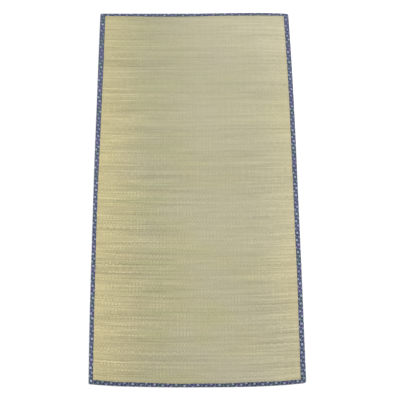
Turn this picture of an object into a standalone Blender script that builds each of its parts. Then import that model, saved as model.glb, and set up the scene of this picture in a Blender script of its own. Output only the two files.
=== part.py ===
"""A woven cattail mat with a printed cotton binding, lying flat.

X runs across the mat, Y along its length with the head end at +Y, and Z up from the
surface that the mat lies on. All sizes are in metres.
"""

import math
from collections import namedtuple

import bmesh
import bpy

# The plan: straight lines between the four corners, before the edges bow
CORNER_WIDTH = 0.870
CORNER_LENGTH = 1.740
CORNER_RADIUS = {
    ("left", "foot"): 0.004,
    ("right", "foot"): 0.008,
    ("left", "head"): 0.004,
    ("right", "head"): 0.009,
}

# Thicknesses, and the clearance between pieces that touch
CLOTH = 0.0010
GAP = 0.0003
PRESSED_PANEL = 0.0018
PANEL_VALLEY = 0.0023
RIB_HEIGHT = 0.0007

# The weave: lengthwise ribs, one over each pair of hidden cords
RIB_PITCH = 0.0140
RIB_COUNT = 58
# (share of the pitch, share of the height) of a rib's points: the valley before it and its two shoulders
RIB_PROFILE = ((0.0, 0.0), (0.35, 1.0), (0.65, 1.0))

# The panel is pressed flat under the binding and swells again past the seam
SEAM_MARGIN = 0.0010
SWELL = 0.0120

# Steps that the curved shapes are divided into
FOLD_STEPS = 6
CORNER_STEPS = 6
SIDE_STEPS = 14
END_STEPS = 20
FIELD_ROWS = 10
RIBS_PER_UNDERSIDE_FACE = 8

# Lines of the panel's grid from its edge to the seam: the edge, the corner's end and the seam
MARGIN_LINES = 3

# How far each edge bows out past its straight line, and how wide its binding shows.
# The side rows run from foot to head and the end rows from left to right, evenly spaced.
SideRow = namedtuple("SideRow", "left_bow right_bow left_width right_width")
SIDE_ROWS = (
    SideRow(0.0000, 0.0000, 0.0168, 0.0212),
    SideRow(0.0034, 0.0015, 0.0174, 0.0205),
    SideRow(0.0048, 0.0032, 0.0177, 0.0192),
    SideRow(0.0050, 0.0041, 0.0171, 0.0200),
    SideRow(0.0054, 0.0049, 0.0184, 0.0201),
    SideRow(0.0047, 0.0059, 0.0208, 0.0208),
    SideRow(0.0032, 0.0056, 0.0222, 0.0202),
    SideRow(0.0020, 0.0039, 0.0235, 0.0212),
    SideRow(0.0000, 0.0000, 0.0225, 0.0222),
)
EndRow = namedtuple("EndRow", "foot_bow head_bow foot_width head_width")
END_ROWS = (
    EndRow(0.0000, 0.0000, 0.0183, 0.0140),
    EndRow(0.0084, -0.0003, 0.0165, 0.0150),
    EndRow(0.0120, -0.0003, 0.0164, 0.0163),
    EndRow(0.0144, -0.0001, 0.0142, 0.0170),
    EndRow(0.0150, 0.0002, 0.0142, 0.0158),
    EndRow(0.0148, 0.0022, 0.0143, 0.0146),
    EndRow(0.0134, 0.0040, 0.0168, 0.0148),
    EndRow(0.0090, 0.0042, 0.0163, 0.0148),
    EndRow(0.0000, 0.0000, 0.0148, 0.0130),
)

# Sizes that follow from those above
BINDING_HEIGHT = PRESSED_PANEL + 2 * (CLOTH + GAP)
FOLD_RADIUS = (BINDING_HEIGHT - CLOTH) / 2
FOLD_CENTRE = BINDING_HEIGHT / 2
PANEL_INSET = BINDING_HEIGHT / 2
CORNER_SQUARE = max(CORNER_RADIUS.values())
OUTWARD = {"left": -1, "right": 1, "foot": -1, "head": 1}

STRAW = (0.47, 0.44, 0.29, 1.0)
SLATE_BLUE = (0.11, 0.13, 0.21, 1.0)


def smooth(rows, column, share):
    """A column's value at a share of the way through evenly spaced rows, on a smooth curve."""
    values = [getattr(row, column) for row in rows]
    place = min(max(share, 0.0), 1.0) * (len(values) - 1)
    index = min(int(place), len(values) - 2)
    step = place - index
    start, end = values[index], values[index + 1]
    before = values[index - 1] if index > 0 else 2 * start - end
    after = values[index + 2] if index + 2 < len(values) else 2 * end - start
    ease = step * step * (3 - 2 * step)
    leaving = (end - before) / 2 * step * (1 - step) ** 2
    arriving = (after - start) / 2 * step**2 * (step - 1)
    return start + (end - start) * ease + leaving + arriving


def between(start, end, share):
    return start + (end - start) * share


def share_across(x):
    return x / CORNER_WIDTH + 0.5


def share_along(y):
    return y / CORNER_LENGTH + 0.5


def side_x(side, share, inset=0.0):
    """X of a side edge at a share of the length, drawn in by an inset."""
    return OUTWARD[side] * (CORNER_WIDTH / 2 + smooth(SIDE_ROWS, side + "_bow", share) - inset)


def end_y(end, share, inset=0.0):
    """Y of an end edge at a share of the width, drawn in by an inset."""
    return OUTWARD[end] * (CORNER_LENGTH / 2 + smooth(END_ROWS, end + "_bow", share) - inset)


def seam_x(side, share):
    """X of a side binding's inner edge."""
    return side_x(side, share, smooth(SIDE_ROWS, side + "_width", share))


def fold_section(width, corner_in=0.0, squeeze=1.0):
    """Folded cloth cut across: (distance in from the edge, height) along the middle of the cloth.

    It runs from the upper inner edge out round the fold and back to the lower inner edge.
    """
    angles = [math.pi * (0.5 - step / FOLD_STEPS) for step in range(FOLD_STEPS + 1)]
    fold = [(corner_in + FOLD_RADIUS * (1 - math.cos(a)), FOLD_RADIUS * math.sin(a)) for a in angles]
    section = [(width, FOLD_RADIUS)] + fold + [(width, -FOLD_RADIUS)]
    return [(inward, FOLD_CENTRE + height * squeeze) for inward, height in section]


def drop_of_arc(radius, distance):
    """How far an arc of this radius has left its tangent line, from the place where it ends."""
    short = max(radius - distance, 0.0)
    return radius - math.sqrt(radius * radius - short * short)


def side_stations(side):
    """Where a side strip is cut across: (share of the length, distance to the end, corner radius)."""
    length = CORNER_LENGTH - CLOTH
    quarter = [math.pi / 2 * step / CORNER_STEPS for step in range(CORNER_STEPS + 1)]
    rounded = {}
    for end in ("foot", "head"):
        radius = CORNER_RADIUS[side, end] - CLOTH / 2
        rounded[end] = [(radius * (1 - math.cos(angle)), radius) for angle in quarter]
    foot = [(distance / length, distance, radius) for distance, radius in rounded["foot"]]
    head = [(1 - distance / length, distance, radius) for distance, radius in reversed(rounded["head"])]
    middle = [(step / SIDE_STEPS, length / SIDE_STEPS, CORNER_SQUARE) for step in range(1, SIDE_STEPS)]
    return foot + middle + head


def side_strip_lines(side):
    """Points of a side strip, whose ends are drawn together into closed rounded corners."""
    lines = []
    for share, distance, radius in side_stations(side):
        width = smooth(SIDE_ROWS, side + "_width", share) - CLOTH / 2
        squeeze = 1 - drop_of_arc(FOLD_RADIUS, distance) / FOLD_RADIUS
        line = []
        for inward, height in fold_section(width, drop_of_arc(radius, distance), squeeze):
            x = side_x(side, share, CLOTH / 2 + inward)
            ends = [end_y(end, share_across(x), CLOTH / 2) for end in ("foot", "head")]
            line.append((x, between(*ends, share), height))
        lines.append(line)
    return lines


def end_strip_lines(end):
    """Points of an end strip, which runs between the two side strips."""
    at_end = {"foot": 0.0, "head": 1.0}[end]
    start = seam_x("left", at_end) + GAP
    stop = seam_x("right", at_end) - GAP
    lines = []
    for step in range(END_STEPS + 1):
        x = between(start, stop, step / END_STEPS)
        share = share_across(x)
        width = smooth(END_ROWS, end + "_width", share) - CLOTH / 2
        section = fold_section(width)
        lines.append([(x, end_y(end, share, CLOTH / 2 + inward), height) for inward, height in section])
    return lines


def grid_through(lines):
    """An editable grid of faces bent through lines of points of equal number."""
    grid = bmesh.new()
    bmesh.ops.create_grid(grid, x_segments=len(lines[0]) - 1, y_segments=len(lines) - 1, size=1)
    for vert, point in zip(grid.verts, (point for line in lines for point in line)):
        vert.co = point
    return grid


def principled(name, colour, roughness):
    material = bpy.data.materials.new(name)
    material.use_nodes = True
    shader = material.node_tree.nodes["Principled BSDF"]
    shader.inputs["Base Color"].default_value = colour
    shader.inputs["Roughness"].default_value = roughness
    shader.inputs["Metallic"].default_value = 0.0
    return material


def add_piece(name, grid, material, root, collection):
    """Turns an edited grid into an object of the mat."""
    mesh = bpy.data.meshes.new(name)
    bmesh.ops.recalc_face_normals(grid, faces=grid.faces[:])
    grid.to_mesh(mesh)
    grid.free()
    mesh.shade_smooth()
    mesh.set_sharp_from_angle(angle=math.radians(40))
    mesh.materials.append(material)
    piece = bpy.data.objects.new(name, mesh)
    collection.objects.link(piece)
    piece.parent = root
    return piece


def add_binding(edge, lines, material, root, collection):
    """A strip of cloth folded over one edge of the panel."""
    grid = grid_through(lines)
    bmesh.ops.remove_doubles(grid, verts=grid.verts[:], dist=0.00001)
    piece = add_piece("binding_" + edge, grid, material, root, collection)
    thickness = piece.modifiers.new("cloth_thickness", "SOLIDIFY")
    thickness.thickness = CLOTH
    thickness.offset = 0.0
    thickness.use_even_offset = True


def rib_marks():
    """(X on a straight mat, height as a share of a full rib) across the ribbed field."""
    start = -RIB_COUNT * RIB_PITCH / 2
    marks = [
        (start + (rib + along_rib) * RIB_PITCH, height)
        for rib in range(RIB_COUNT)
        for along_rib, height in RIB_PROFILE
    ]
    return marks + [(-start, 0.0)]


def panel_columns(share):
    """X of each lengthwise line of the panel's grid, at a share of the length."""
    left, right = side_x("left", share), side_x("right", share)
    ribs = [between(left, right, share_across(x)) for x, _ in rib_marks()]
    left_margin = [left + PANEL_INSET, left + CORNER_SQUARE, seam_x("left", share) + SEAM_MARGIN]
    right_margin = [seam_x("right", share) - SEAM_MARGIN, right - CORNER_SQUARE, right - PANEL_INSET]
    return left_margin + ribs + right_margin


def panel_rows(x):
    """Y of each crosswise line of the panel's grid, at an X."""
    share = share_across(x)
    foot, head = end_y("foot", share), end_y("head", share)
    foot_seam = foot + smooth(END_ROWS, "foot_width", share) + SEAM_MARGIN
    head_seam = head - smooth(END_ROWS, "head_width", share) - SEAM_MARGIN
    field = [between(foot, head, row / FIELD_ROWS) for row in range(1, FIELD_ROWS)]
    foot_margin = [foot + PANEL_INSET, foot + CORNER_SQUARE, foot_seam, foot_seam + SWELL]
    head_margin = [head_seam - SWELL, head_seam, head - CORNER_SQUARE, head - PANEL_INSET]
    return foot_margin + field + head_margin


def panel_plan():
    """(x, y, swelling) for each point of the panel's grid, row by row from the foot.

    The swelling is 0 where the binding presses the panel and 1 in the open field.
    """
    seam = MARGIN_LINES - 1
    plan = []
    for row, straight_y in enumerate(panel_rows(0.0)):
        columns = panel_columns(share_along(straight_y))
        line = []
        for x in columns:
            rows = panel_rows(x)
            from_side = min(x - columns[seam], columns[-seam - 1] - x)
            from_end = min(rows[row] - rows[seam], rows[-seam - 1] - rows[row])
            swelling = min(max(min(from_side, from_end) / SWELL, 0.0), 1.0)
            line.append((x, rows[row], swelling))
        plan.append(line)
    round_corners(plan)
    return plan


def round_corners(plan):
    """Draws the four corner points of the panel's plan in to their rounded corners."""
    for (side, end), radius in CORNER_RADIUS.items():
        row = {"foot": 0, "head": -1}[end]
        column = {"left": 0, "right": -1}[side]
        inset = radius - (radius - PANEL_INSET) * math.sqrt(0.5)
        x = side_x(side, row != 0, inset)
        y = end_y(end, column != 0, inset)
        plan[row][column] = (x, y, 0.0)


def panel_lines():
    """The panel's underside, and its top with the lengthwise ribs raised."""
    margin = [0.0] * MARGIN_LINES
    rib_heights = margin + [height for _, height in rib_marks()] + margin
    pressed_underside = CLOTH + GAP
    pressed_top = pressed_underside + PRESSED_PANEL
    underside, top = [], []
    for line in panel_plan():
        underside.append([(x, y, pressed_underside * (1 - swelling)) for x, y, swelling in line])
        top_line = []
        for (x, y, swelling), rib in zip(line, rib_heights):
            full = PANEL_VALLEY + RIB_HEIGHT * rib
            top_line.append((x, y, between(pressed_top, full, swelling)))
        top.append(top_line)
    return underside, top


def merge_plain_faces(grid, side, column, row):
    """Dissolves the lengthwise edges that no rib needs, on the underside and in the hidden margin."""
    last_column = max(vert[column] for vert in grid.verts)
    last_row = max(vert[row] for vert in grid.verts)
    seam = MARGIN_LINES - 1
    swollen = MARGIN_LINES + len(RIB_PROFILE)
    kept = set(range(swollen, last_column - swollen, len(RIB_PROFILE) * RIBS_PER_UNDERSIDE_FACE))
    kept |= set(range(swollen + 1)) | set(range(last_column - swollen, last_column + 1))
    idle = []
    for edge in grid.edges:
        first, second = edge.verts
        same_column = first[column] == second[column]
        on_top = first[side] and second[side]
        in_field = all(seam <= vert[row] <= last_row - seam for vert in edge.verts)
        if same_column and first[column] not in kept and not (on_top and in_field):
            idle.append(edge)
    bmesh.ops.dissolve_edges(grid, edges=idle, use_verts=True)


def add_panel(material, root, collection):
    """The woven panel: a flat underside, ribs on top, and a thin pressed margin all round."""
    underside, top = panel_lines()
    grid = grid_through(underside)
    side = grid.verts.layers.int.new("side")
    column = grid.verts.layers.int.new("column")
    row = grid.verts.layers.int.new("row")
    for index, vert in enumerate(grid.verts):
        vert[row], vert[column] = divmod(index, len(underside[0]))
    raised = bmesh.ops.extrude_face_region(grid, geom=grid.faces[:], use_keep_orig=True)
    for vert in raised["geom"]:
        if isinstance(vert, bmesh.types.BMVert):
            vert[side] = 1
            vert.co = top[vert[row]][vert[column]]
    merge_plain_faces(grid, side, column, row)
    add_piece("mat_panel", grid, material, root, collection)


def plan_centre():
    """The middle of the box that the bowed outline fills."""
    steps = [step / 100 for step in range(101)]
    left = min(side_x("left", share) for share in steps)
    right = max(side_x("right", share) for share in steps)
    foot = min(end_y("foot", share) for share in steps)
    head = max(end_y("head", share) for share in steps)
    return (left + right) / 2, (foot + head) / 2


def build_mat():
    for leftover in list(bpy.data.objects):
        bpy.data.objects.remove(leftover, do_unlink=True)
    collection = bpy.data.collections.new("cattail_mat")
    bpy.context.scene.collection.children.link(collection)

    centre_x, centre_y = plan_centre()
    root = bpy.data.objects.new("mat_root", None)
    root.location = (-centre_x, -centre_y, 0.0)
    collection.objects.link(root)

    add_panel(principled("cattail_weave", STRAW, 0.75), root, collection)
    cotton = principled("printed_cotton", SLATE_BLUE, 0.85)
    for side in ("left", "right"):
        add_binding(side, side_strip_lines(side), cotton, root, collection)
    for end in ("head", "foot"):
        add_binding(end, end_strip_lines(end), cotton, root, collection)


build_mat()
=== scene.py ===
"""Looks of a woven cattail mat: its flattened stems, its printed cotton edging and the stitches.

X runs across the mat, Y along it with the head end at +Y, and Z up from the floor. All sizes are
in metres. The outline, the edging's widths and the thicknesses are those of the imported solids.
"""

import math
from collections import namedtuple

import bpy
import numpy as np
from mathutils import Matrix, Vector


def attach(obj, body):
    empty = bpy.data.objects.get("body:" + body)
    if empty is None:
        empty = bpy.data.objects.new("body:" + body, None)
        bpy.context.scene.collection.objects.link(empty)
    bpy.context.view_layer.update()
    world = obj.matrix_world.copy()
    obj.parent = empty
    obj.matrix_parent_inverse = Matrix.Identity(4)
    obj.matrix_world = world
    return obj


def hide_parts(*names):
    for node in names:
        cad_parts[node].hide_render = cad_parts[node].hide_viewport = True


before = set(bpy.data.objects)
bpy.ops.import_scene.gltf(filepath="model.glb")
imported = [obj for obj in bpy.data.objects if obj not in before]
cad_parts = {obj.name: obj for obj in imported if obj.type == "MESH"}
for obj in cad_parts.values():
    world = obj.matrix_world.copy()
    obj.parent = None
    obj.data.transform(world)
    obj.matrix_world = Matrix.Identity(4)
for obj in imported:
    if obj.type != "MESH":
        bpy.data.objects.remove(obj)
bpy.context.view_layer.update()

SEED = 739
SHARP_ANGLE = math.radians(65)

# The plan: straight lines between the four corners, before the edges bow
CORNER_WIDTH = 0.870
CORNER_LENGTH = 1.740
CORNER_RADIUS = {
    ("left", "foot"): 0.004,
    ("right", "foot"): 0.008,
    ("left", "head"): 0.004,
    ("right", "head"): 0.009,
}
SIDES = ("left", "right")
OUTWARD = {"left": -1, "right": 1, "foot": -1, "head": 1}

# How far each edge bows out past its straight line, and how wide its edging shows.
# The side rows run from foot to head and the end rows from left to right, evenly spaced.
SideRow = namedtuple("SideRow", "left_bow right_bow left_width right_width")
SIDE_ROWS = (
    SideRow(0.0000, 0.0000, 0.0168, 0.0212),
    SideRow(0.0034, 0.0015, 0.0174, 0.0205),
    SideRow(0.0048, 0.0032, 0.0177, 0.0192),
    SideRow(0.0050, 0.0041, 0.0171, 0.0200),
    SideRow(0.0054, 0.0049, 0.0184, 0.0201),
    SideRow(0.0047, 0.0059, 0.0208, 0.0208),
    SideRow(0.0032, 0.0056, 0.0222, 0.0202),
    SideRow(0.0020, 0.0039, 0.0235, 0.0212),
    SideRow(0.0000, 0.0000, 0.0225, 0.0222),
)
EndRow = namedtuple("EndRow", "foot_bow head_bow foot_width head_width")
END_ROWS = (
    EndRow(0.0000, 0.0000, 0.0183, 0.0140),
    EndRow(0.0084, -0.0003, 0.0165, 0.0150),
    EndRow(0.0120, -0.0003, 0.0164, 0.0163),
    EndRow(0.0144, -0.0001, 0.0142, 0.0170),
    EndRow(0.0150, 0.0002, 0.0142, 0.0158),
    EndRow(0.0148, 0.0022, 0.0143, 0.0146),
    EndRow(0.0134, 0.0040, 0.0168, 0.0148),
    EndRow(0.0090, 0.0042, 0.0163, 0.0148),
    EndRow(0.0000, 0.0000, 0.0148, 0.0130),
)

# Thicknesses of the solids
HEM_THICKNESS = 0.0010
GAP = 0.0003
PRESSED_PANEL = 0.0018
PANEL_VALLEY = 0.0023
RIB_HEIGHT = 0.0007
EDGING_HEIGHT = PRESSED_PANEL + 2 * (HEM_THICKNESS + GAP)
HALF_HEIGHT = EDGING_HEIGHT / 2

# The weave: lengthwise ribs, and flattened stems that cross them
RIB_PITCH = 0.0140
RIB_COUNT = 60
RIB_MARKS = (0.0, 0.28, 0.72)
RIB_SHARES = (0.0, 1.0, 1.0)
STEM_PITCH = 0.0030
STEM_MARKS = (0.0, 0.30, 0.70)
STEM_SHARES = (0.30, 1.0, 1.0)
STAGGER = STEM_PITCH / 4
VALLEY_DIP = 0.00010
PANEL_INSET = 0.0040
BANDS = 4
UNDERSIDE_STEP = 24

# How thin a stem gets past its own cord, and how far into the next rib, as shares of the pitch
THIN_STEM = 0.001
STEM_OVERLAP = 0.06

# The panel is pressed flat under the edging and swells again past the seam
SEAM_MARGIN = 0.0010
SWELL = 0.0120
RELIEF_SWELL = 0.0035

# How uneven the stems are
STEM_DRIFT = 0.00035
STEM_DRIFT_CELL = (0.120, 0.045)
DRIFT_FADE = 0.030
STEM_SPACING = 0.08
STEM_SWELLS = (0.80, 1.12)
FLOAT_SWELLS = (0.90, 1.08)

# Tones of the bundles, as random values that change softly over cells of (width, length)
GROUP_CELLS = ((0.160, 0.0055), (0.300, 0.016))
GROUP_TONE = 0.45
BATCH_CELLS = ((0.500, 0.040), (0.800, 0.150))
BATCH_TONE = 0.42
GREEN_CELL = (0.220, 0.016)

# Tones of single stems and of the streaks along them, and a painted glint on each of their floats over a
# rib, with the streaks' waves to the metre. The shift moves each stem's streaks by up to this many metres.
# The steps are how far apart in the noise two stems lie, so that they don't match.
STEM_TONE = 2.1
FLOAT_GLINT_TONE = 1.3
SHORT_STREAK_TONE = 4.4
SHORT_STREAK_WAVES = (8.0, 1.0, 0.0)
LONG_STREAK_TONE = 7.4
LONG_STREAK_WAVES = (3.0, 1.0, 0.0)
MIDDLE_TONE = -7.6
STREAK_SHIFT = 0.4
STEM_STEP = 7.31
PARTNER_STEP = 0.20

# Other noise on the stems, in waves to the metre across the mat and along it
FIBRE_WAVES = (24.0, 2300.0, 0.0)
RUN_WAVES = (11.0, 420.0, 0.0)
PATCH_WAVES = (3.2, 4.5, 0.0)
FLECK_WAVES = (95.0, 620.0, 0.0)
# Noise that sets how strongly the ribs' shade is painted, and its middle value
RIB_SHADING_WAVES = (10.0, 90.0, 0.0)
RIB_SHADING_MIDDLE = 0.49

# Parts of the mat with a tone of their own, one with a painted pool of light, and one where the ribs'
# shade is painted more strongly: its strength up to the near distance and past the far one. A stretch
# under 1 makes such a part wider. Its third value leaves the relief out.
Spot = namedtuple("Spot", "place near far inside outside stretch", defaults=[(1.0, 1.0, 0.0)])
# Paler and bluer towards the head-right corner
PALER_CORNER_PART = Spot((0.430, 0.870, 0.0), 0.02, 0.42, 0.34, 0.0, (0.65, 1.0, 0.0))
FADED_PART = Spot((0.430, 0.870, 0.0), 0.0, 1.6, 0.60, 0.0)
PALE_PART = Spot((0.230, -0.870, 0.0), 0.0, 0.34, 0.30, 0.0)
# A painted pool of light on the right side of the mat
PAINTED_LIGHT_PART = Spot((0.430, -0.420, 0.0), 0.0, 0.24, 0.26, 0.0)
# Where the ribs' shade is painted most strongly: on the left, towards the foot
RIB_SHADING_PART = Spot((-0.430, -0.400, 0.0), 0.1, 1.1, 1.3, 0.25)

# Ramps of the stems' looks, each as (from, to, value before, value after). These run over
# metres of the straight mat, from a line or from its middle.
ROOT_LINE = 0.035
ROOT_SCATTER = -0.06
ROOT_RAMP = (0.160, 0.450, 0.0, 1.0)
STRAW_RAMP = (-0.1, 0.4, 0.0, 1.0)
STRAW_SHARE = (0.1, 0.8, 0.76, 0.58)
STREAK_CONTRAST = (0.05, 0.38, 0.037, 0.087)
FADED_CONTRAST = -0.55
DULL_LINE = -0.230
DULL_RAMP = (0.0, 0.270, 0.060, 0.0)
FOOT_SHADE = (-0.848, -0.834, 0.955, 1.0)

# These run over noise, a rib's height or a stem's half width. A trend is the noise's change over
# a metre.
GREEN_TREND = 0.6
GREEN_RAMP = (-0.7, 0.8, 0.0, 1.0)
GREY_TREND = 0.35
GREY_RAMP = (0.35, 0.65, 0.0, 1.0)
FLECK_RAMP = (0.70, 0.80, 0.0, 0.45)
FIBRE_SHADE = (0.30, 0.70, 0.93, 1.06)
RUN_SHADE = (0.30, 0.70, 0.96, 1.04)
# Painted shade of the ribs over a rib's height: valleys and crests set apart in tone, more or less and
# either way round as the noise goes
CREST_SHADE = (0.0, 0.75, -0.55, 0.45)
# Dirt and painted shade in the gaps between stems
STEM_GAP_SHADE = (0.70, 1.0, 1.0, 0.62)
STEM_ROUGHNESS = (0.25, 0.75, 0.66, 0.52)
STEM_ROUNDING = 3.0
STEM_BUMP = 0.00012

# Colours of the stems, as screen values
DUN = (172, 165, 130)
GREEN = (167, 165, 125)
GREY = (170, 165, 137)
FADED = (172, 168, 142)
LEFT_STRAW = (195, 182, 135)
RIGHT_STRAW = (194, 184, 145)
# The colour of a painted pool of light
PAINTED_LIGHT = (210, 197, 152)
PALE = (184, 179, 154)
# The colour of the paler head-right corner
PALER_CORNER = (200, 193, 168)
BROWN = (130, 112, 76)

# The cotton edging, folded over the panel and turned under at its hems. The points of the
# strips in FLIPPED run the other way round their edge.
CLOTH = 0.00055
HEM_MARKS = (0.0, 0.0004, 0.0020, 0.0034)
SEAM_MARK = 2
HEM_ROUND = (0.00034, 0.00006)
FLAT_MARKS = 3
FOLD_STEPS = 4
HEM_DEPTH = 0.0060
HEM_STEP = 0.0010
CORNER_STEPS = 6
STATION_STEP = 0.0020
HEM_WANDER = 0.00035
HEM_WANDER_CELL = 0.030
CALM_END = (0.020, 0.050)
FLIPPED = ("left", "head")

# Puckers of the edging: how deep it is pinched between needle holes and at one, and its ripples
PINCHES = (0.00010, 0.00034)
PINCH_REACH = 0.0011
RIPPLE = 0.00009
RIPPLE_CELLS = ((0.009, 0.011), (0.016, 0.040))
RIPPLE_START = (0.0005, 0.0040)
PUCKER_START = (0.004, 0.014)

# Stitches along the hem
THREAD_RADIUS = 0.00021
THREAD_SIDES = 5
RingMark = namedtuple("RingMark", "place rise size")
STITCH_RINGS = (
    RingMark(-0.47, -0.00020, 0.8),
    RingMark(-0.32, 0.00014, 1.0),
    RingMark(0.0, 0.00020, 1.0),
    RingMark(0.32, 0.00014, 1.0),
    RingMark(0.47, -0.00020, 0.8),
)

# The print: pale motifs on a slanting lattice, one step for each direction (across, along), and
# ramps over metres past a motif's edge or from its middle, the leaves' over their own shape
PRINT_STEPS = ((0.0115, 0.0135), (-0.0075, 0.0199))
PRINT_WANDER = 0.0012
PRINT_WANDER_WAVES = (60.0, 60.0, 0.0)
BLOSSOM_PETALS = 5
BLOSSOM_SIZE = 0.0034
BLOSSOM_GROWTH = 0.0012
BLOSSOM_NOTCH = 0.0023
BUD_PETALS = 4
BUD_NOTCH = 0.7
BUDS = (((0.5, 0.5), 0.0018), ((0.0, 0.5), 0.0014))
MOTIF_EDGE = (-0.0002, 0.0002, 1.0, 0.0)
RIM_EDGE = (0.0004, 0.0009, 1.0, 0.0)
EYE_EDGE = (0.0007, 0.0010, 1.0, 0.0)
LEAF_TURNS = (0.7, 2.2, 3.9, 5.3)
LEAF_START = 0.0036
LEAF_SIZE = (0.0021, 0.0013)
LEAF_EDGE = (-0.12, 0.12, 1.0, 0.0)

# The cotton's weave, wear and dyes, with painted shade on each strip's fold and along its hem
YARN_PITCH = 0.00046
YARN_SHADE = 0.06
YARN_BUMP = 0.00005
# How dark each strip is, partly wear and partly painted shade of its fold, darkest at the foot
WEAR_AND_SHADE = {"left": 0.98, "right": 0.96, "head": 0.92, "foot": 0.77}
FADING_WAVES = (25.0, 9.0, 0.0)
FADING_RAMP = (0.3, 0.7, 0.0, 1.0)
DYE_WAVES = (10.0, 16.0, 0.0)
GREEN_DYE = (0.37, 0.47, 1.0, 0.0)
VIOLET_DYE = (0.53, 0.63, 0.0, 1.0)
# Painted shade along the hem, where the edging meets the panel
HEM_SHADE = (0.0006, 0.0026, 0.80, 1.0)
COTTON_ROUGHNESS = (0.25, 0.75, 0.80, 0.90)

# Colours of the cotton and the sewing thread, as screen values
DARK_SLATE = (50, 60, 86)
LIGHT_SLATE = (65, 75, 102)
GREEN_SLATE = (54, 74, 80)
VIOLET_SLATE = (70, 62, 104)
LEAF = (142, 149, 167)
RIM = (36, 40, 57)
BUD = (148, 154, 172)
DIM_PETAL = (138, 145, 164)
BRIGHT_PETAL = (163, 168, 184)
EYE = (80, 88, 122)
DARK_THREAD = (34, 38, 62)
LIGHT_THREAD = (66, 72, 104)
THREAD_TWIST = 44.0
THREAD_RAMP = (-0.6, 0.8, 0.0, 1.0)
THREAD_ROUGHNESS = (-1.0, 1.0, 0.75, 0.6)
THREAD_BUMP = 0.00006

# In how many lengths the bake map of each kind of piece is laid out
MAP_LENGTHS = {"band": 3, "side": 6, "end": 4, "stitches": 4}
MAP_FILLED = 0.98
MAP_HIDDEN = 0.08

# The floor and the light
FLOOR_REACH = 6.0
FLOOR_LEVEL = -0.0004
FLOOR_WAVES = (1.5, 1.5, 0.0)
FLOOR_DARK = (243, 243, 243)
FLOOR_LIGHT = (247, 247, 247)
FLOOR_ROUGHNESS = (0.0, 1.0, 0.7, 0.8)
FLOOR_BUMP = 0.0001
AreaLight = namedtuple("AreaLight", "name place size power")
AREA_LIGHTS = (
    AreaLight("key", (2.4, 0.9, 3.6), 2.4, 104.0),
    AreaLight("fill", (-2.4, -0.8, 2.8), 2.6, 34.0),
)
ROOM_LIGHT = 0.75

# The photograph's view
VIEW_PLACE = (-0.0660, -1.9121, 4.2724)
VIEW_TURN = (23.390, -0.883, -0.521)
VIEW_LENS = 97.60
SENSOR = 36.0


def between(start, end, share):
    return start + (end - start) * share


def smooth(rows, column, share):
    """A column's value at shares of the way through evenly spaced rows, on a smooth curve."""
    values = np.array([getattr(row, column) for row in rows])
    padded = np.concatenate([[2 * values[0] - values[1]], values, [2 * values[-1] - values[-2]]])
    place = np.clip(share, 0.0, 1.0) * (len(values) - 1)
    index = np.minimum(np.floor(place).astype(int), len(values) - 2)
    step = place - index
    before, start, end, after = (padded[index + knot] for knot in range(4))
    ease = step * step * (3 - 2 * step)
    leaving = (end - before) / 2 * step * (1 - step) ** 2
    arriving = (after - start) / 2 * step**2 * (step - 1)
    return between(start, end, ease) + leaving + arriving


def share_across(x):
    return x / CORNER_WIDTH + 0.5


def share_along(y):
    return y / CORNER_LENGTH + 0.5


def side_x(side, share, inset=0.0):
    """X of a side edge at a share of the length, drawn in by an inset."""
    return OUTWARD[side] * (CORNER_WIDTH / 2 + smooth(SIDE_ROWS, side + "_bow", share) - inset)


def end_y(end, share, inset=0.0):
    """Y of an end edge at a share of the width, drawn in by an inset."""
    return OUTWARD[end] * (CORNER_LENGTH / 2 + smooth(END_ROWS, end + "_bow", share) - inset)


def seam_x(side, share):
    return side_x(side, share, smooth(SIDE_ROWS, side + "_width", share))


def seam_y(end, share):
    return end_y(end, share, smooth(END_ROWS, end + "_width", share))


def row_y(x, share):
    """Y between the two bowed end edges at this X, at a share of the length."""
    return between(end_y("foot", share_across(x)), end_y("head", share_across(x)), share)


def bowed(x, share):
    """X and Y of the point that lies at X on the straight mat, at a share of its length."""
    x = between(side_x("left", share), side_x("right", share), share_across(x))
    return x, row_y(x, share)


def plan_centre():
    """The middle of the box that the bowed outline fills, which is the frame's origin."""
    steps = np.linspace(0.0, 1.0, 101)
    x = (side_x("left", steps).min() + side_x("right", steps).max()) / 2
    y = (end_y("foot", steps).min() + end_y("head", steps).max()) / 2
    return np.array([x, y, 0.0])


def ease_between(low, high, value):
    """0 below low, 1 above high, and a smooth step between them."""
    share = np.clip((value - low) / (high - low), 0.0, 1.0)
    return share * share * (3 - 2 * share)


def soft_noise(rng, across, along, cell):
    """Random values from -1 to 1 that change softly over cells of this (width, length)."""
    column = (across - across.min()) / cell[0] + rng.uniform()
    row = (along - along.min()) / cell[1] + rng.uniform()
    knots = rng.uniform(-1.0, 1.0, (int(row.max()) + 2, int(column.max()) + 2))
    left, foot = np.floor(column).astype(int), np.floor(row).astype(int)
    step_across = ease_between(0.0, 1.0, column - left)
    step_along = ease_between(0.0, 1.0, row - foot)
    lower = between(knots[foot, left], knots[foot, left + 1], step_across)
    upper = between(knots[foot + 1, left], knots[foot + 1, left + 1], step_across)
    return between(lower, upper, step_along)


def grid_faces(ids):
    """Quads through a grid of point numbers.

    They face up where rows run along Y and columns along X.
    """
    return np.stack([ids[:-1, :-1], ids[:-1, 1:], ids[1:, 1:], ids[1:, :-1]], -1).reshape(-1, 4)


Chart = namedtuple("Chart", "across along shown segments")


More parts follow.
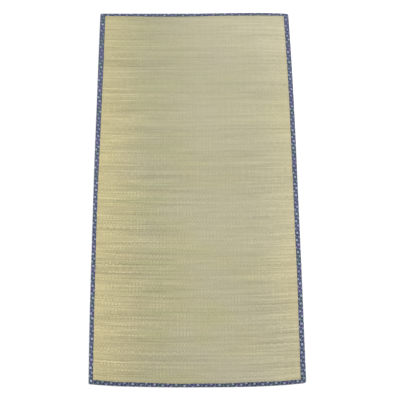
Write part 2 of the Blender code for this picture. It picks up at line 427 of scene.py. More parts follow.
def add_piece(name, points, face_groups, material, attributes, chart, node=None):
    """An object from points, arrays of triangles or quads, and vectors for the material to read.

    It stands for a node of the frame, or goes with one if no node is given.
    """
    corners = np.concatenate([group.ravel() for group in face_groups])
    sizes = np.concatenate([np.full(len(group), group.shape[1]) for group in face_groups])
    used, corners = np.unique(corners, return_inverse=True)
    mesh = bpy.data.meshes.new(name)
    mesh.vertices.add(len(used))
    mesh.vertices.foreach_set("co", (points - plan_centre())[used].ravel())
    mesh.loops.add(len(corners))
    mesh.loops.foreach_set("vertex_index", corners)
    mesh.polygons.add(len(sizes))
    mesh.polygons.foreach_set("loop_start", np.cumsum(sizes) - sizes)
    mesh.update(calc_edges=True)
    for key, values in attributes.items():
        layer = mesh.attributes.new(key, "FLOAT_VECTOR", "POINT")
        layer.data.foreach_set("vector", values[used].astype(np.float32).ravel())
    add_bake_map(mesh, corners, sizes, chart._replace(across=chart.across[used], along=chart.along[used]))
    mesh.shade_smooth()
    mesh.set_sharp_from_angle(angle=SHARP_ANGLE)
    mesh.materials.append(material)
    piece = bpy.data.objects.new(name, mesh)
    bpy.context.scene.collection.objects.link(piece)
    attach(piece, "root")
    if node:
        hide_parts(node)
    return piece


def add_bake_map(mesh, corners, sizes, chart):
    """Lays the shown faces out in lengths side by side, and the hidden ones in a strip beside them."""
    face = np.repeat(np.arange(len(sizes)), sizes)
    across, along = chart.across[corners], chart.along[corners]
    middle = np.bincount(face, along) / sizes
    segment = np.clip(np.floor(middle * chart.segments), 0, chart.segments - 1)[face]
    shown = face < chart.shown
    filled = between(0.5, across, MAP_FILLED)
    u = np.where(shown, (segment + filled) / chart.segments * (1 - MAP_HIDDEN), 1 - MAP_HIDDEN * filled)
    v = between(0.5, np.where(shown, along * chart.segments - segment, along), MAP_FILLED)
    layer = mesh.uv_layers.new(name="OFBake")
    layer.uv.foreach_set("vector", np.stack([u, v], 1).astype(np.float32).ravel())


def weave_columns():
    """For each lengthwise line: X on a straight mat, share of a rib's height, and the rib's number."""
    start = -RIB_COUNT * RIB_PITCH / 2
    edge = CORNER_WIDTH / 2 - PANEL_INSET
    ribs = [
        (start + (rib + mark) * RIB_PITCH, share, rib)
        for rib in range(RIB_COUNT)
        for mark, share in zip(RIB_MARKS, RIB_SHARES)
    ]
    lines = [(-edge, 0.0, 0), *ribs, (-start, 0.0, RIB_COUNT - 1), (edge, 0.0, RIB_COUNT - 1)]
    return [np.array(values) for values in zip(*lines)]


def weave_rows(rng):
    """For each crosswise line: Y on a straight mat, share of a stem's height, and place in stems."""
    reach = CORNER_LENGTH / 2 - PANEL_INSET - STAGGER
    count = round(2 * reach / STEM_PITCH)
    jitter = rng.uniform(-STEM_SPACING, STEM_SPACING, count)
    jitter[0] = 0.0
    start = 2 * reach / count * (np.arange(count) + jitter)
    width = np.diff(np.append(start, 2 * reach))
    y = (start[:, None] + width[:, None] * np.array(STEM_MARKS)).ravel() - reach
    shares = np.tile(STEM_SHARES, count)
    stem = (np.arange(count)[:, None] + np.array(STEM_MARKS)).ravel()
    return np.append(y, reach), np.append(shares, STEM_SHARES[0]), np.append(stem, count)


def stem_looks(rng, across, along):
    """(tone, greenness, 0) of the bundles that the stems came from, at each point of the weave."""
    groups = sum(soft_noise(rng, across, along, cell) for cell in GROUP_CELLS)
    batches = sum(soft_noise(rng, across, along, cell) for cell in BATCH_CELLS)
    tone = GROUP_TONE * groups + BATCH_TONE * batches
    green = soft_noise(rng, across, along, GREEN_CELL)
    return np.stack([tone, green, 0.0 * tone], -1)


def stem_swells(rng, stems, ribs):
    """How much thicker or thinner than usual each stem is, and each of its floats over a rib."""
    numbers = stems.astype(int)
    count = numbers.max() + 1
    swell = rng.uniform(*STEM_SWELLS, count)[numbers]
    return swell * rng.uniform(*FLOAT_SWELLS, (count, RIB_COUNT))[numbers, ribs]


def past_seam(x, y, share):
    """How far inside the edging's seam a point of the panel lies."""
    from_side = np.minimum(x - seam_x("left", share), seam_x("right", share) - x)
    at = share_across(x)
    from_end = np.minimum(y - seam_y("foot", at), seam_y("head", at) - y)
    return np.minimum(from_side, from_end) - SEAM_MARGIN


def panel_heights(distance, rib_share, stem_share, relief):
    """Heights of the underside and the top at a distance past the seam."""
    swelling = np.clip(distance / SWELL, 0.0, 1.0)
    opening = ease_between(-SEAM_MARGIN, RELIEF_SWELL, distance)
    full = PANEL_VALLEY + RIB_HEIGHT * relief - VALLEY_DIP * (1 - stem_share)
    pressed = PRESSED_PANEL - RIB_HEIGHT * opening * (1 - stem_share) * rib_share
    underside = (HEM_THICKNESS + GAP) * (1 - swelling)
    return underside, underside + between(pressed, full, swelling)


Weave = namedtuple("Weave", "top underside straight grain looks")


def weave_grid(rng):
    """Points of the weave's top and underside, row by row, and what its material reads."""
    straight_x, rib_share, rib = weave_columns()
    straight_y, stem_share, stem = weave_rows(rng)
    across, along = np.meshgrid(straight_x, straight_y)
    ribs, stems = np.meshgrid(rib, stem)
    stem_share = np.broadcast_to(stem_share[:, None], across.shape)
    turn = np.where(ribs % 2, 1, -1) * (rib_share > 0)
    along = along + STAGGER * turn
    grain = (across / RIB_PITCH + RIB_COUNT / 2, stems + STAGGER / STEM_PITCH * turn, 0.0 * along)

    inside = ease_between(0.0, DRIFT_FADE, CORNER_LENGTH / 2 - PANEL_INSET - np.abs(along))
    drift = STEM_DRIFT * soft_noise(rng, across, along, STEM_DRIFT_CELL) * inside
    share = share_along(along + drift)
    x, y = bowed(across, share)
    relief = rib_share * stem_share * stem_swells(rng, stems, ribs)
    underside, top = panel_heights(past_seam(x, y, share), rib_share, stem_share, relief)
    return Weave(
        np.stack([x, y, top], -1),
        np.stack([x, y, underside], -1),
        np.stack([across, along, relief], -1),
        np.stack(grain, -1),
        stem_looks(rng, across, along),
    )


def side_wall(upper, lower, rows):
    """Triangles between a line of top points and the fewer underside points below it.

    They face -X where the lines run along Y. Rows holds the place, in the line of top points, of
    the one over each underside point.
    """
    below = np.searchsorted(rows, np.arange(len(upper) - 1), side="right") - 1
    fans = np.stack([upper[:-1], upper[1:], lower[below]], 1)
    steps = np.stack([upper[rows[1:]], lower[1:], lower[:-1]], 1)
    return np.concatenate([fans, steps])


def add_weave_band(number, weave, columns, material):
    """One lengthwise band of the woven panel, cut along the valleys between ribs: a closed sheet."""
    top, underside, straight, grain, looks = (grid[:, columns] for grid in weave)
    rows = np.unique(np.append(np.arange(0, len(top), UNDERSIDE_STEP), len(top) - 1))
    upper = np.arange(top[..., 0].size).reshape(top.shape[:2])
    lower = upper.size + np.arange(len(rows) * top.shape[1]).reshape(len(rows), -1)
    faces = [
        grid_faces(upper),
        grid_faces(lower)[:, ::-1],
        grid_faces(np.stack([lower[0], upper[0]])),
        grid_faces(np.stack([upper[-1], lower[-1]])),
        side_wall(upper[:, 0], lower[:, 0], rows),
        side_wall(upper[:, -1], lower[:, -1], rows)[:, ::-1],
    ]

    def joined(high, low):
        return np.concatenate([high.reshape(-1, 3), low[rows].reshape(-1, 3)])

    places = joined(straight, straight)
    across, along = ((value - value.min()) / np.ptp(value) for value in places[:, :2].T)
    piece = add_piece(
        f"weave_band_{number}",
        joined(top, underside),
        faces,
        material,
        {"straight": places, "grain": joined(grain, grain), "stem": joined(looks, looks)},
        Chart(across, along, len(faces[0]), MAP_LENGTHS["band"]),
        "mat_panel",
    )


def add_weave(material):
    """The woven panel, as bands that share its ribs evenly."""
    weave = weave_grid(np.random.default_rng(SEED))
    last = weave.top.shape[1] - 1
    ribs = RIB_COUNT // BANDS
    cuts = [1 + band * ribs * len(RIB_MARKS) for band in range(BANDS + 1)]
    cuts[0], cuts[-1] = 0, last
    for number, (start, stop) in enumerate(zip(cuts, cuts[1:]), 1):
        add_weave_band(number, weave, slice(start, stop + 1), material)


def strip_stations(length, radii, thickness):
    """Where one face of a strip is cut across, and how far its edge is drawn in there.

    An end with a radius is closed and rounded. The thickness is that of the cloth outside the face.
    """
    count = 2 * round((length - sum(radii)) / STATION_STEP / 2)
    place = np.linspace(radii[0], length - radii[1], count + 1)
    corner = np.zeros(count + 1)
    angle = np.linspace(0.0, math.pi / 2, CORNER_STEPS + 1)[:-1]
    inner = [radius - thickness for radius in radii]
    if radii[0]:
        place = np.concatenate([radii[0] - inner[0] * np.cos(angle), place])
        corner = np.concatenate([inner[0] * (1 - np.sin(angle)), corner])
    if radii[1]:
        place = np.concatenate([place, (length - radii[1] + inner[1] * np.cos(angle))[::-1]])
        corner = np.concatenate([corner, inner[1] * (1 - np.sin(angle))[::-1]])
    return place, corner


def closing(height, distance):
    """How much of its height a closed end has at a distance from its tip."""
    short = np.clip(1 - distance / height, 0.0, 1.0)
    return np.sqrt(1 - short * short)[:, None]


def fold_section(width, corner, thickness):
    """(distance in from the edge, height over the middle) of one face of a folded strip.

    It runs from the upper hem round the fold to the lower hem, a row for each station. The
    thickness is that of the cloth outside this face, 0 for the outer one.
    """
    angles = np.linspace(math.pi / 2, -math.pi / 2, FOLD_STEPS + 1)
    centre = (corner + HALF_HEIGHT)[:, None]
    radius = HALF_HEIGHT - thickness
    hem = width[:, None] - np.array(HEM_MARKS)
    flat = between(hem[:, -1:], centre, np.arange(1, FLAT_MARKS + 1) / (FLAT_MARKS + 1))
    upper = np.concatenate([hem, flat], 1)
    turned = ease_between(HEM_DEPTH, HEM_DEPTH + HEM_STEP, width[:, None] - upper)
    cloth = between(HEM_THICKNESS, thickness, turned) if thickness else 0.0 * upper
    high = HALF_HEIGHT - cloth
    high[:, : len(HEM_ROUND)] += np.array(HEM_ROUND) * (1 if thickness else -1)
    inward = np.concatenate([upper, centre - radius * np.cos(angles), upper[:, ::-1]], 1)
    arc = np.broadcast_to(radius * np.sin(angles), (len(width), len(angles)))
    return inward, np.concatenate([high, arc, -high[:, ::-1]], 1)


def puckers(rng, place, inward, width, heights, length):
    """How far the outer face rises: pinched in at each needle hole, and softly rippled above."""
    along = np.broadcast_to(place[:, None], inward.shape)
    depth = width[:, None] - inward
    hole = (1 - np.arange(len(place)) % 2)[:, None]
    from_seam = (depth - HEM_MARKS[SEAM_MARK]) / PINCH_REACH
    pinch = between(*PINCHES, hole) * np.exp(-(from_seam**2))
    ripples = sum(soft_noise(rng, depth, along, cell) for cell in RIPPLE_CELLS)
    rise = RIPPLE * ripples * ease_between(*RIPPLE_START, depth) * (heights > 0)
    calm = ease_between(*PUCKER_START, np.minimum(place, length - place))[:, None]
    return (rise - np.sign(heights) * pinch) * calm


def side_places(side, place, inward):
    """X and Y of points on a side strip, from their distance along it and in from its edge."""
    share = place[:, None] / CORNER_LENGTH
    x = side_x(side, share, inward)
    return x, row_y(x, share)


def end_places(end, place, inward, length):
    """X and Y of points on an end strip, which runs between the two side strips."""
    share = place[:, None] / length
    x = between(seam_x("left", 0.5), seam_x("right", 0.5), share)
    for _ in range(2):
        y = end_y(end, share_across(x), inward)
        at = share_along(y)
        x = between(seam_x("left", at) + GAP, seam_x("right", at) - GAP, share)
    return x, y


def strip_size(edge):
    """Length of a strip, and the radii of its two ends, 0 where it ends against another strip."""
    if edge in SIDES:
        return CORNER_LENGTH, (CORNER_RADIUS[edge, "foot"], CORNER_RADIUS[edge, "head"])
    at = {"foot": 0.0, "head": 1.0}[edge]
    return float(seam_x("right", at) - seam_x("left", at)), (0.0, 0.0)


def strip_width(rng, edge, place, length):
    """How wide a strip shows at each station, with a hem that wanders a little."""
    if edge in SIDES:
        width = smooth(SIDE_ROWS, edge + "_width", place / length)
    else:
        width = smooth(END_ROWS, edge + "_width", share_across(place - length / 2))
    wander = soft_noise(rng, 0.0 * place, place, (1.0, HEM_WANDER_CELL))
    return width + HEM_WANDER * wander * ease_between(*CALM_END, np.minimum(place, length - place))


StripFace = namedtuple("StripFace", "points inward heights place width")


def strip_face(edge, length, radii, thickness):
    """The outer face of a folded strip, or the inner one under cloth of this thickness.

    Both start with the same random values, so that their hems wander alike.
    """
    rng = np.random.default_rng([SEED, *edge.encode()])
    place, corner = strip_stations(length, radii, thickness)
    width = strip_width(rng, edge, place, length)
    inward, heights = fold_section(width, corner, thickness)
    rise = 0.0 * heights if thickness else puckers(rng, place, inward, width, heights, length)
    for radius, distance in zip(radii, (place, length - place)):
        if radius:
            heights = heights * closing(HALF_HEIGHT - thickness, distance - thickness)
    if edge in SIDES:
        x, y = side_places(edge, place, inward)
    else:
        x, y = end_places(edge, place, inward, length)
    return StripFace(np.stack([x, y, HALF_HEIGHT + heights + rise], -1), inward, heights, place, width)


def fold_path(face):
    """Distance round the fold from the upper hem, at each point of a strip's face."""
    steps = np.hypot(np.diff(face.inward, axis=1), np.diff(face.heights, axis=1))
    return np.concatenate([np.zeros((len(face.place), 1)), np.cumsum(steps, 1)], 1)


def strip_faces(outer, inner, closed_ends):
    """Faces of a folded strip from the point numbers of its outer and inner faces.

    A closed end has its upper half welded to its lower half, and an open one has a cap.
    """
    middle = outer.shape[1] // 2
    caps = []
    for end, is_closed in zip((0, -1), closed_ends):
        if is_closed:
            for face in (outer, inner):
                face[end, middle + 1 :] = face[end, :middle][::-1]
        else:
            cap = grid_faces(np.stack([inner[end], outer[end]]))
            caps.append(cap if end == 0 else cap[:, ::-1])
    upper_hem = grid_faces(np.stack([inner[:, 0], outer[:, 0]], 1))
    lower_hem = grid_faces(np.stack([outer[:, -1], inner[:, -1]], 1))
    return [grid_faces(outer), upper_hem, lower_hem, grid_faces(inner)[:, ::-1], *caps]


def add_edging(edge, cotton, thread):
    """A strip of cotton folded over one edge of the panel, and the stitches that hold it."""
    length, radii = strip_size(edge)
    outer, inner = (strip_face(edge, length, radii, thickness) for thickness in (0.0, CLOTH))
    path = fold_path(outer)
    across = path[:, path.shape[1] // 2][:, None] - path
    along = np.broadcast_to(outer.place[:, None], path.shape)
    depth = outer.width[:, None] - outer.inward
    numbers = np.arange(path.size).reshape(path.shape)
    groups = strip_faces(numbers, numbers + path.size, [radius > 0 for radius in radii])
    if edge in FLIPPED:
        groups = [group[:, ::-1] for group in groups]
    else:
        across = -across
    cloth = np.stack([across, along, depth], -1).reshape(-1, 3)
    strip = add_piece(
        "cotton_" + edge,
        np.concatenate([outer.points.reshape(-1, 3), inner.points.reshape(-1, 3)]),
        groups,
        cotton,
        {"cloth": np.tile(cloth, (2, 1)), "wear_and_shade": np.full((2 * path.size, 3), WEAR_AND_SHADE[edge])},
        Chart(
            np.tile((path / path[:, -1:]).ravel(), 2),
            np.tile((along / length).ravel(), 2),
            sum(len(group) for group in groups[:3]),
            MAP_LENGTHS["side" if edge in SIDES else "end"],
        ),
        "binding_" + edge,
    )
    rounded = CORNER_STEPS if edge in SIDES else 0
    seam = outer.points[rounded : len(outer.place) - rounded, SEAM_MARK]
    stitches = add_stitches(edge, seam, thread)


def add_stitches(edge, seam, material):
    """A joined row of stitches. Seam holds a point at each needle hole and one between each pair."""
    start, middle, stop = seam[:-2:2], seam[1:-1:2], seam[2::2]
    run = stop - start
    sunk = (start[:, 2] + stop[:, 2]) / 2 - middle[:, 2]
    sideways = np.stack([-run[:, 1], run[:, 0], 0.0 * run[:, 0]], 1)
    sideways /= np.linalg.norm(sideways, axis=1)[:, None]
    angles = (2 * math.pi * np.arange(THREAD_SIDES) / THREAD_SIDES)[None, :, None]
    spokes = np.cos(angles) * sideways[:, None] + np.sin(angles) * [0.0, 0.0, 1.0]
    rings = []
    for mark in STITCH_RINGS:
        centre = middle + mark.place * run
        centre[:, 2] = middle[:, 2] + 2 * abs(mark.place) * sunk + mark.rise
        rings.append(centre[:, None] + THREAD_RADIUS * mark.size * spokes)
    points = np.stack(rings, 1)
    ids = np.arange(points[..., 0].size).reshape(points.shape[:3])
    looped = np.concatenate([ids, ids[:, :, :1]], 2)
    tube = [looped[:, :-1, :-1], looped[:, :-1, 1:], looped[:, 1:, 1:], looped[:, 1:, :-1]]
    faces = [np.stack(tube, -1).reshape(-1, 4), ids[:, 0, ::-1], ids[:, -1]]
    stitch, ring, side = np.meshgrid(*(np.arange(size) for size in ids.shape), indexing="ij")
    place = stitch + ring / len(STITCH_RINGS)
    twist = np.stack([side / THREAD_SIDES, place, 0.0 * side], -1).reshape(-1, 3)
    chart = Chart(twist[:, 0], twist[:, 1] / len(seam) * 2, len(faces[0]), MAP_LENGTHS["stitches"])
    piece = add_piece("stitches_" + edge, points.reshape(-1, 3), faces, material, {"twist": twist}, chart)
    return piece


def paint(colour):
    """A colour from its screen values, 0 to 255, in the linear form that shaders take."""
    def linear(value):
        value /= 255
        return value / 12.92 if value <= 0.04045 else ((value + 0.055) / 1.055) ** 2.4

    return (*map(linear, colour), 1.0)


class Look:
    """A material, with short calls that add its shader nodes."""

    def __init__(self, name, **sockets):
        self.material = bpy.data.materials.new(name)
        self.material.use_nodes = True
        self.tree = self.material.node_tree
        self.shader = self.tree.nodes["Principled BSDF"]
        for key, value in sockets.items():
            self.shader.inputs[key.replace("_", " ")].default_value = value

    def join(self, socket, value):
        if isinstance(value, bpy.types.NodeSocket):
            self.tree.links.new(value, socket)
        else:
            socket.default_value = value

    def node(self, kind, inputs, **settings):
        made = self.tree.nodes.new("ShaderNode" + kind)
        for key, value in settings.items():
            setattr(made, key, value)
        for key, value in inputs.items():
            self.join(made.inputs[key], value)
        return made

    def combine(self, *values):
        return self.node("CombineXYZ", dict(enumerate(values))).outputs[0]

    def split(self, vector):
        return self.node("SeparateXYZ", {0: vector}).outputs[:3]

    def read(self, name):
        """A vector that the mesh holds, whole and as its three values."""
        whole = self.node("Attribute", {}, attribute_name=name).outputs["Vector"]
        return whole, *self.split(whole)

    def maths(self, operation, *values):
        return self.node("Math", dict(enumerate(values)), operation=operation).outputs[0]

    def vectors(self, operation, *values):
        made = self.node("VectorMath", dict(enumerate(values)), operation=operation)
        return made.outputs["Value" if operation in ("DOT_PRODUCT", "LENGTH") else "Vector"]

    def ramp(self, value, low, high, start, end):
        """Start below low, end above high, and a smooth step between them."""
        inputs = {0: value, 1: low, 2: high, 3: start, 4: end}
        return self.node("MapRange", inputs, interpolation_type="SMOOTHSTEP").outputs[0]

    def mix(self, share, start, end):
        return self.node("Mix", {0: share, 6: start, 7: end}, data_type="RGBA").outputs[2]

    def cover(self, colour, *layers):
        """A colour with others laid over it in turn, each as (share, colour)."""
        for share, layer in layers:
            colour = self.mix(share, colour, layer)
        return colour

    def scale(self, vector, factor):
        """A vector made longer or shorter, or a colour made lighter or darker."""
        return self.node("VectorMath", {0: vector, "Scale": factor}, operation="SCALE").outputs["Vector"]

    def noise(self, place, waves, detail=1.0):
        """Noise from 0 to 1 with this many waves to the metre along each axis."""
        stretched = self.vectors("MULTIPLY", place, waves)
        return self.node("TexNoise", {"Vector": stretched, "Scale": 1.0, "Detail": detail}).outputs[0]

    def finish(self, colour, roughness, height, distance):
        self.join(self.shader.inputs["Base Color"], colour)
        self.join(self.shader.inputs["Roughness"], roughness)
        bump = self.node("Bump", {"Height": height, "Distance": distance, "Strength": 1.0})
        self.join(self.shader.inputs["Normal"], bump.outputs["Normal"])
        return self.material


Stems = namedtuple("Stems", "edge number is_first chance float_chance")


def read_stems(look):
    """The stem that shows at each point, how near its edge the point lies, and its random values, one of
    them a painted glint on each float over a rib.

    Over each lengthwise cord every second stem shows, and the ones between dive under it. On the
    next cord they change places, so a stem tapers to nothing in the valley past its own cord.
    """
    _, rib, row, _ = look.read("grain")
    rib = look.maths("SUBTRACT", rib, 0.5)
    row = look.maths("SUBTRACT", row, 0.5 - STAGGER / STEM_PITCH)
    from_cord = look.maths("PINGPONG", rib, 1.0)
    valley = RIB_MARKS[-1]
    width = look.ramp(from_cord, 1 - valley, valley + STEM_OVERLAP, 1 - THIN_STEM, THIN_STEM)
    reach = look.maths("MULTIPLY", look.maths("PINGPONG", row, 0.5), 2.0)
    first = look.maths("DIVIDE", reach, width)
    other = look.maths("DIVIDE", look.maths("SUBTRACT", 1.0, reach), look.maths("SUBTRACT", 1.0, width))
    is_first = look.maths("LESS_THAN", first, 1.0)
    number = look.maths("FLOOR", look.maths("MULTIPLY_ADD", is_first, 0.5, row))
    cord = look.maths("FLOOR", look.maths("MULTIPLY", look.maths("ADD", rib, is_first), 0.5))
    chance = look.node("TexWhiteNoise", {"W": number}, noise_dimensions="1D").outputs["Value"]
    place = look.combine(number, cord, is_first)
    float_chance = look.node("TexWhiteNoise", {"Vector": place}, noise_dimensions="3D").outputs["Value"]
    return Stems(look.maths("MINIMUM", first, other), number, is_first, chance, float_chance)


def near(look, straight, spot):
    """How strong a part's own tone is at a point of the straight mat."""
    apart = look.vectors("MULTIPLY", look.vectors("SUBTRACT", straight, spot.place), spot.stretch)
    return look.ramp(look.vectors("LENGTH", apart), spot.near, spot.far, spot.inside, spot.outside)


def stem_tone(look, x, bundle, stems):
    """Tone of the bundle, the stem, a painted glint on its float over a rib, and the short and long
    streaks along it.
    """
    row = look.maths("MULTIPLY", stems.number, STEM_STEP)
    row = look.maths("MULTIPLY_ADD", stems.is_first, PARTNER_STEP, row)
    place = look.combine(look.maths("MULTIPLY_ADD", stems.chance, STREAK_SHIFT, x), row)
    short_streak = look.noise(place, SHORT_STREAK_WAVES, detail=0.0)
    long_streak = look.noise(place, LONG_STREAK_WAVES, detail=0.0)
    tone = look.maths("MULTIPLY_ADD", long_streak, LONG_STREAK_TONE, MIDDLE_TONE)
    tone = look.maths("MULTIPLY_ADD", short_streak, SHORT_STREAK_TONE, tone)
    tone = look.maths("ADD", tone, look.maths("MULTIPLY_ADD", stems.chance, STEM_TONE, bundle))
    # A painted glint: each float over a rib lighter or darker at random
    return look.maths("MULTIPLY_ADD", stems.float_chance, FLOAT_GLINT_TONE, tone)


def stem_colour(look, straight, x, y, green, root, faded):
    """Dun and green stems, paler and greyer in patches, straw-coloured towards their roots, paler and
    bluer towards the head-right corner, with a painted pool of light on the right side.
    """
    greener = look.ramp(look.maths("MULTIPLY_ADD", y, GREEN_TREND, green), *GREEN_RAMP)
    patches = look.noise(straight, PATCH_WAVES, detail=2.0)
    greyer = look.ramp(look.maths("MULTIPLY_ADD", x, GREY_TREND, patches), *GREY_RAMP)
    straw = look.mix(look.ramp(x, *STRAW_RAMP), paint(LEFT_STRAW), paint(RIGHT_STRAW))
    return look.cover(
        paint(DUN),
        (greener, paint(GREEN)),
        (greyer, paint(GREY)),
        (faded, paint(FADED)),
        (look.maths("MULTIPLY", root, look.ramp(y, *STRAW_SHARE)), straw),
        # A painted pool of light on the right side
        (near(look, straight, PAINTED_LIGHT_PART), paint(PAINTED_LIGHT)),
        (near(look, straight, PALE_PART), paint(PALE)),
        (near(look, straight, PALER_CORNER_PART), paint(PALER_CORNER)),
        (look.ramp(look.noise(straight, FLECK_WAVES), *FLECK_RAMP), paint(BROWN)),
    )


def weave_look():
    """Dried cattail: straw stems with fine fibres, greener and paler runs, brown flecks, and dirt and
    painted shade in the gaps between stems.
    """
    look = Look("cattail_weave", Specular_IOR_Level=0.35, Sheen_Weight=0.08, Sheen_Roughness=0.5)
    straight, x, y, relief = look.read("straight")
    _, bundle, green, _ = look.read("stem")
    stems = read_stems(look)
    from_middle = look.maths("ABSOLUTE", look.maths("SUBTRACT", x, ROOT_LINE))
    root = look.ramp(look.maths("MULTIPLY_ADD", stems.chance, ROOT_SCATTER, from_middle), *ROOT_RAMP)
    faded = near(look, straight, FADED_PART)
    colour = stem_colour(look, straight, x, y, green, root, faded)

    contrast = look.ramp(from_middle, *STREAK_CONTRAST)
    contrast = look.maths("MULTIPLY", contrast, look.maths("MULTIPLY_ADD", faded, FADED_CONTRAST, 1.0))
    from_dull = look.maths("ABSOLUTE", look.maths("SUBTRACT", x, DULL_LINE))
    streaked = look.maths("MULTIPLY_ADD", stem_tone(look, x, bundle, stems), contrast, 1.0)
    shade = look.maths("SUBTRACT", streaked, look.ramp(from_dull, *DULL_RAMP))
    fibres = look.noise(straight, FIBRE_WAVES, detail=2.0)
    runs = look.noise(straight, RUN_WAVES, detail=2.0)
    # Painted shade of the ribs: how strongly, and which way round, their valleys and crests are set apart
    knots = look.maths("SUBTRACT", look.noise(straight, RIB_SHADING_WAVES, detail=0.0), RIB_SHADING_MIDDLE)
    depth = look.maths("MULTIPLY", knots, near(look, straight, RIB_SHADING_PART))
    for factor in (
        look.ramp(fibres, *FIBRE_SHADE),
        look.ramp(runs, *RUN_SHADE),
        look.ramp(y, *FOOT_SHADE),
        # The ribs' painted shade
        look.maths("MULTIPLY_ADD", look.ramp(relief, *CREST_SHADE), depth, 1.0),
        # Dirt and painted shade in the gaps between stems
        look.ramp(stems.edge, *STEM_GAP_SHADE),
    ):
        shade = look.maths("MULTIPLY", shade, factor)
    roughness = look.ramp(fibres, *STEM_ROUGHNESS)
    height = look.maths("MULTIPLY_ADD", look.maths("POWER", stems.edge, 3.0), -STEM_ROUNDING, fibres)
    return look.finish(look.scale(colour, shade), roughness, height, STEM_BUMP)


def lattice(look, cloth, offset=(0.0, 0.0)):
    """For a point of the cloth: its place about the nearest motif, in metres, and the motif's chance."""
    (first_x, first_y), (second_x, second_y) = PRINT_STEPS
    area = first_x * second_y - first_y * second_x
    reads = ((second_y / area, -second_x / area, 0.0), (-first_y / area, first_x / area, 0.0))
    parts, cells = [], []
    for read, shift in zip(reads, offset):
        steps = look.maths("ADD", look.vectors("DOT_PRODUCT", cloth, read), 0.5 + shift)
        parts.append(look.maths("SUBTRACT", look.maths("FRACT", steps), 0.5))
        cells.append(look.maths("FLOOR", steps))
    places = []
    for first, second in ((first_x, second_x), (first_y, second_y)):
        rest = look.maths("MULTIPLY", parts[1], second)
        places.append(look.maths("MULTIPLY_ADD", parts[0], first, rest))
    cell = look.combine(*cells)
    chance = look.node("TexWhiteNoise", {"Vector": cell}, noise_dimensions="2D").outputs["Value"]
    return look.combine(*places), chance


def beyond_petals(look, place, chance, petals, size, notch):
    """Distance outside a flower of this mean size, with notches this deep between round petals."""
    x, y, _ = look.split(place)
    angle = look.maths("MULTIPLY_ADD", chance, 4 * math.pi / petals, look.maths("ARCTAN2", y, x))
    lobes = look.maths("ABSOLUTE", look.maths("COSINE", look.maths("MULTIPLY", angle, petals / 2)))
    edge = look.maths("MULTIPLY_ADD", look.maths("SUBTRACT", lobes, 2 / math.pi), notch, size)
    return look.maths("SUBTRACT", look.vectors("LENGTH", place), edge)


def blossom(look, place, chance):
    """Shares of a small five-petalled flower, of the dark rim round it and of its eye."""
    size = look.maths("MULTIPLY_ADD", chance, BLOSSOM_GROWTH, BLOSSOM_SIZE)
    beyond = beyond_petals(look, place, chance, BLOSSOM_PETALS, size, BLOSSOM_NOTCH)
    eye = look.ramp(look.vectors("LENGTH", place), *EYE_EDGE)
    return look.ramp(beyond, *MOTIF_EDGE), look.ramp(beyond, *RIM_EDGE), eye


def leaf(look, place, turn):
    """Share of a pointed leaf that starts a little off the middle of each blossom."""
    long, wide = LEAF_SIZE
    turned = look.node("VectorRotate", {"Vector": place, "Angle": turn}, rotation_type="Z_AXIS").outputs[0]
    shifted = look.vectors("SUBTRACT", turned, (LEAF_START + long, 0.0, 0.0))
    scaled = look.vectors("DIVIDE", shifted, (long, wide, 1.0))
    x, y, _ = look.split(look.vectors("ABSOLUTE", scaled))
    belly = look.maths("SUBTRACT", 1.0, look.maths("MULTIPLY", x, x))
    return look.ramp(look.maths("SUBTRACT", y, belly), *LEAF_EDGE)


def bud(look, cloth, offset, size):
    """Share of a small bud with four petals in each gap of the lattice."""
    place, chance = lattice(look, cloth, offset)
    return look.ramp(beyond_petals(look, place, chance, BUD_PETALS, size, BUD_NOTCH * size), *MOTIF_EDGE)


def printed_colour(look, cloth, fading):
    """Slate-blue ground in bluer, greener and more violet stretches, and the print on it."""
    wander = look.noise(cloth, PRINT_WANDER_WAVES)
    printed = look.vectors("ADD", cloth, look.scale(look.combine(wander, wander), PRINT_WANDER))
    place, chance = lattice(look, printed)
    petals, rim, eye = blossom(look, place, chance)
    leaves, buds = 0.0, 0.0
    for turn in LEAF_TURNS:
        leaves = look.maths("MAXIMUM", leaves, leaf(look, place, turn))
    for offset, size in BUDS:
        buds = look.maths("MAXIMUM", buds, bud(look, printed, offset, size))
    dyes = look.noise(cloth, DYE_WAVES)
    return look.cover(
        look.mix(look.ramp(fading, *FADING_RAMP), paint(DARK_SLATE), paint(LIGHT_SLATE)),
        (look.ramp(dyes, *GREEN_DYE), paint(GREEN_SLATE)),
        (look.ramp(dyes, *VIOLET_DYE), paint(VIOLET_SLATE)),
        (leaves, paint(LEAF)),
        (rim, paint(RIM)),
        (buds, paint(BUD)),
        (petals, look.mix(chance, paint(DIM_PETAL), paint(BRIGHT_PETAL))),
        (eye, paint(EYE)),
    )


def cotton_look():
    """Slate-blue cotton with a small pale print of blossoms and leaves, plain-woven and a little worn,
    with painted shade on its fold and along its hem.
    """
    look = Look("printed_cotton", Specular_IOR_Level=0.15, Sheen_Weight=0.05, Sheen_Roughness=0.45)
    cloth, across, along, depth = look.read("cloth")
    _, wear_and_shade, _, _ = look.read("wear_and_shade")
    fading = look.noise(cloth, FADING_WAVES, detail=2.0)
    yarn = 2 * math.pi / YARN_PITCH
    warp = look.maths("SINE", look.maths("MULTIPLY", across, yarn))
    weft = look.maths("SINE", look.maths("MULTIPLY", along, yarn))
    threads = look.maths("MULTIPLY", warp, weft)
    shade = look.maths("MULTIPLY_ADD", threads, YARN_SHADE, 1.0)
    # Painted shade along the hem
    shade = look.maths("MULTIPLY", shade, look.ramp(depth, *HEM_SHADE))
    # Each strip darker by its wear and by painted shade of its fold
    shade = look.maths("MULTIPLY", shade, wear_and_shade)
    colour = look.scale(printed_colour(look, cloth, fading), shade)
    return look.finish(colour, look.ramp(fading, *COTTON_ROUGHNESS), threads, YARN_BUMP)


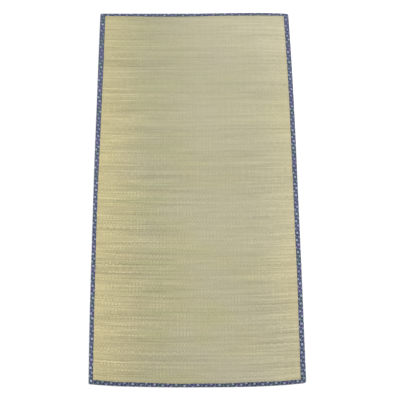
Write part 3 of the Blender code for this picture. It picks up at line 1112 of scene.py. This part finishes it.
def thread_look():
    """Navy sewing thread with its two plies twisted together."""
    look = Look("sewing_thread", Specular_IOR_Level=0.35, Sheen_Weight=0.1, Sheen_Roughness=0.4)
    _, around, along, _ = look.read("twist")
    around = look.maths("MULTIPLY", around, 2 * math.pi)
    plies = look.maths("SINE", look.maths("MULTIPLY_ADD", along, THREAD_TWIST, around))
    colour = look.mix(look.ramp(plies, *THREAD_RAMP), paint(DARK_THREAD), paint(LIGHT_THREAD))
    return look.finish(colour, look.ramp(plies, *THREAD_ROUGHNESS), plies, THREAD_BUMP)


def floor_look():
    """A plain pale studio floor, very faintly uneven."""
    look = Look("pale_floor", Specular_IOR_Level=0.2)
    place = look.node("TexCoord", {}).outputs["Object"]
    uneven = look.noise(place, FLOOR_WAVES, detail=2.0)
    colour = look.mix(uneven, paint(FLOOR_DARK), paint(FLOOR_LIGHT))
    return look.finish(colour, look.ramp(uneven, *FLOOR_ROUGHNESS), uneven, FLOOR_BUMP)


def add_floor():
    ends = (-FLOOR_REACH, FLOOR_REACH)
    corners = [(x, y, FLOOR_LEVEL) for y in ends for x in ends]
    mesh = bpy.data.meshes.new("floor")
    mesh.from_pydata(corners, [], [(0, 1, 3, 2)])
    mesh.materials.append(floor_look())
    floor = bpy.data.objects.new("floor", mesh)
    bpy.context.scene.collection.objects.link(floor)


def add_camera():
    data = bpy.data.cameras.new("photo_view")
    data.sensor_width = SENSOR
    data.lens = VIEW_LENS
    camera = bpy.data.objects.new("photo_view", data)
    camera.location = VIEW_PLACE
    camera.rotation_euler = [math.radians(angle) for angle in VIEW_TURN]
    bpy.context.scene.collection.objects.link(camera)
    bpy.context.scene.camera = camera


def add_area_light(row):
    """A square lamp that points at the middle of the mat."""
    data = bpy.data.lights.new(row.name, "AREA")
    data.shape = "SQUARE"
    data.size = row.size
    data.energy = row.power
    light = bpy.data.objects.new(row.name, data)
    light.location = row.place
    light.rotation_euler = (-Vector(row.place)).to_track_quat("-Z", "Y").to_euler()
    bpy.context.scene.collection.objects.link(light)


def add_studio():
    add_floor()
    for row in AREA_LIGHTS:
        add_area_light(row)
    world = bpy.data.worlds.new("studio")
    world.use_nodes = True
    background = world.node_tree.nodes["Background"]
    background.inputs["Color"].default_value = (1.0, 1.0, 1.0, 1.0)
    background.inputs["Strength"].default_value = ROOM_LIGHT
    bpy.context.scene.world = world
    bpy.context.scene.view_settings.view_transform = "Standard"


add_camera()
add_studio()
add_weave(weave_look())
cotton, thread = cotton_look(), thread_look()
for edge in ("left", "right", "head", "foot"):
    add_edging(edge, cotton, thread)
